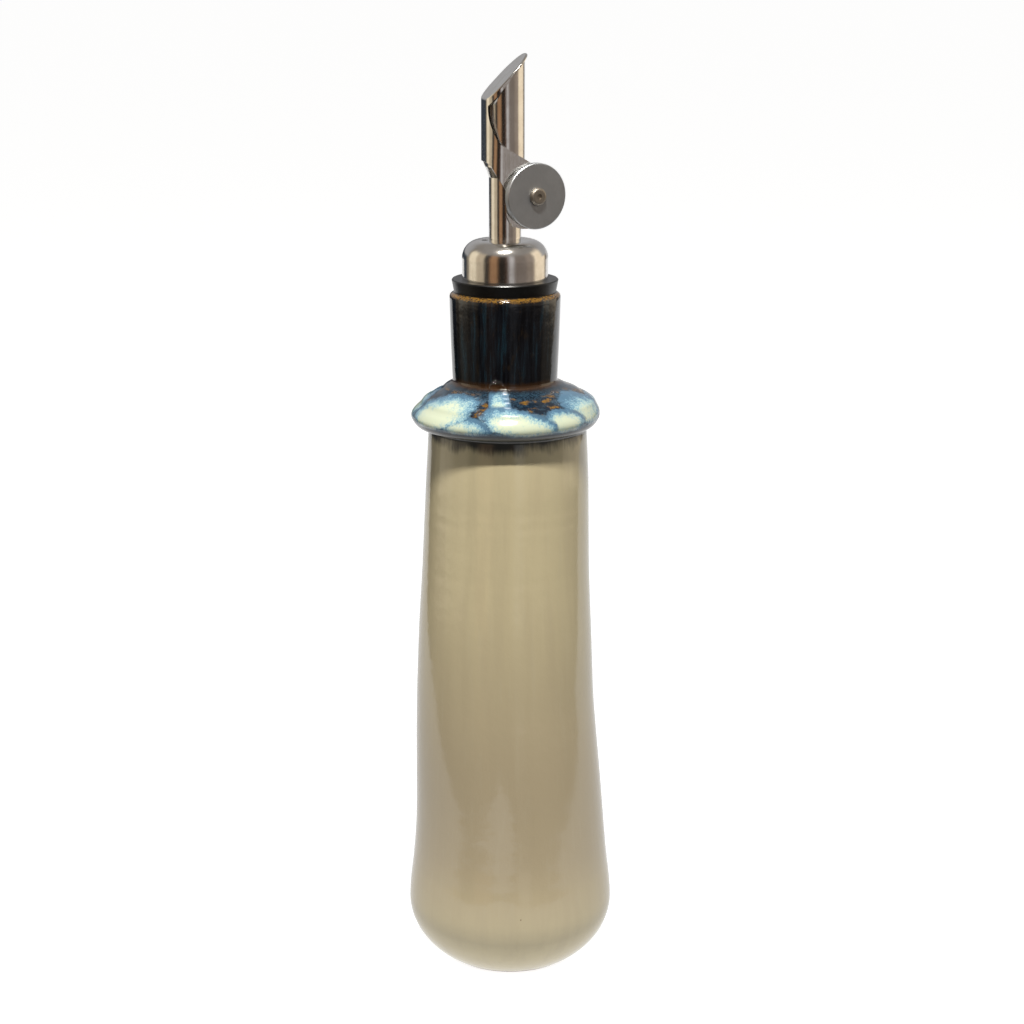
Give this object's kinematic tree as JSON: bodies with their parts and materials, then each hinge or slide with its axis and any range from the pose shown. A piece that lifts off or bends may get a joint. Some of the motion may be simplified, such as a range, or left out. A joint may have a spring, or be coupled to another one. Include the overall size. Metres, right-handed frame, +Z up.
{
  "type": "oil bottle",
  "caption": "Tall glazed stoneware oil bottle with a drip ring and a rubber-seated steel pourer whose weighted flap opens when the bottle is tilted.",
  "frame": {"origin": "centre of the bottle's foot, on the surface that it stands on", "axes": "+Z up along the bottle, +X the way the oil pours, -Y the side with the weight"},
  "size_m": [0.0595, 0.0594, 0.2645],
  "materials": {
    "stoneware": "glossy",
    "rubber": "satin",
    "core_plastic": "matte",
    "polished_steel": "polished",
    "satin_steel": "satin"
  },
  "bodies": {
    "bottle": {"stoneware_bottle": "stoneware"},
    "stopper": {"stopper_sleeve": "rubber"},
    "pourer": {"stopper_core": "core_plastic", "dome_cap": "polished_steel", "spout_tube": "polished_steel", "air_tube": "polished_steel", "pivot_pin": "polished_steel"},
    "flap": {"flap_hood": "polished_steel", "counterweight_disc": "satin_steel", "weight_rivet": "satin_steel"}
  },
  "joints": [
    {"name": "stopper_lift", "type": "slide", "parent": "bottle", "child": "stopper", "axis": [0, 0, 1], "range_m": [0, 0.055]},
    {"name": "spout_swivel", "type": "hinge", "parent": "stopper", "child": "pourer", "pos_m": [0, 0, 0.202], "axis": [0, 0, 1], "continuous": true},
    {"name": "flap_hinge", "type": "hinge", "parent": "pourer", "child": "flap", "pos_m": [0, 0, 0.2287], "axis": [0, -1, 0], "range_deg": [0, 30]}
  ]
}
